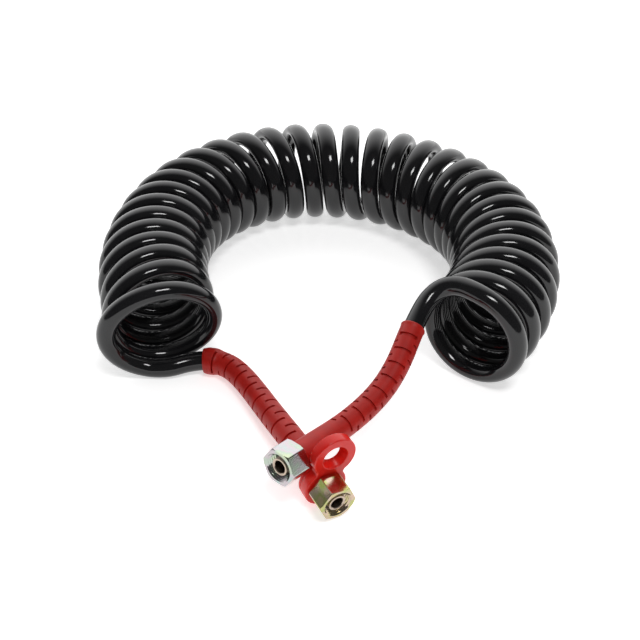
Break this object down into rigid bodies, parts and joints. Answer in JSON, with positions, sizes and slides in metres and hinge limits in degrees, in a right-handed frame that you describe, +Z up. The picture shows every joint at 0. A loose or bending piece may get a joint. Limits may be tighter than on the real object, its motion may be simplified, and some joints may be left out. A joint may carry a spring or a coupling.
{
  "type": "coiled air brake hose assembly",
  "caption": "Coiled black air hose bent into a horseshoe, with slotted red kink guards, swivel union nuts and a hanging eye at one end",
  "frame": {"origin": "centre of the bounding box on the plane the hose lies on", "axes": "X across the horseshoe, +Y from the open front with the fittings to the closed back, +Z up from the plane it lies on"},
  "size_m": [0.2977, 0.3589, 0.0701],
  "materials": {
    "hose": "smooth glossy extruded tube",
    "guard": "satin moulded",
    "hanger": "glossy moulded",
    "nipple": "turned and plated",
    "nut": "yellow iridescent zinc plate",
    "seal": "smooth",
    "ferrule": "zinc plate"
  },
  "bodies": {
    "hose": {"hose_coil": "hose", "hose_tail_a": "hose", "hose_tail_b": "hose", "kink_guard_a": "guard", "kink_guard_b": "guard", "hanger_collar": "hanger", "nipple_a": "nipple", "nipple_b": "nipple", "cone_seal_a": "seal", "cone_seal_b": "seal", "clamp_ferrule_a": "ferrule", "clamp_ferrule_b": "ferrule"},
    "nut_a": {"union_nut_a": "nut"},
    "nut_b": {"union_nut_b": "nut"}
  },
  "joints": [
    {"name": "nut_a_spin", "type": "hinge", "parent": "hose", "child": "nut_a", "pos_m": [-0.0196, -0.1603, 0.03], "axis": [-0.6431, -0.753, 0.1392], "continuous": true},
    {"name": "nut_b_spin", "type": "hinge", "parent": "hose", "child": "nut_b", "pos_m": [-0.003, -0.1647, 0.0122], "axis": [0.4778, -0.8763, -0.061], "continuous": true}
  ]
}
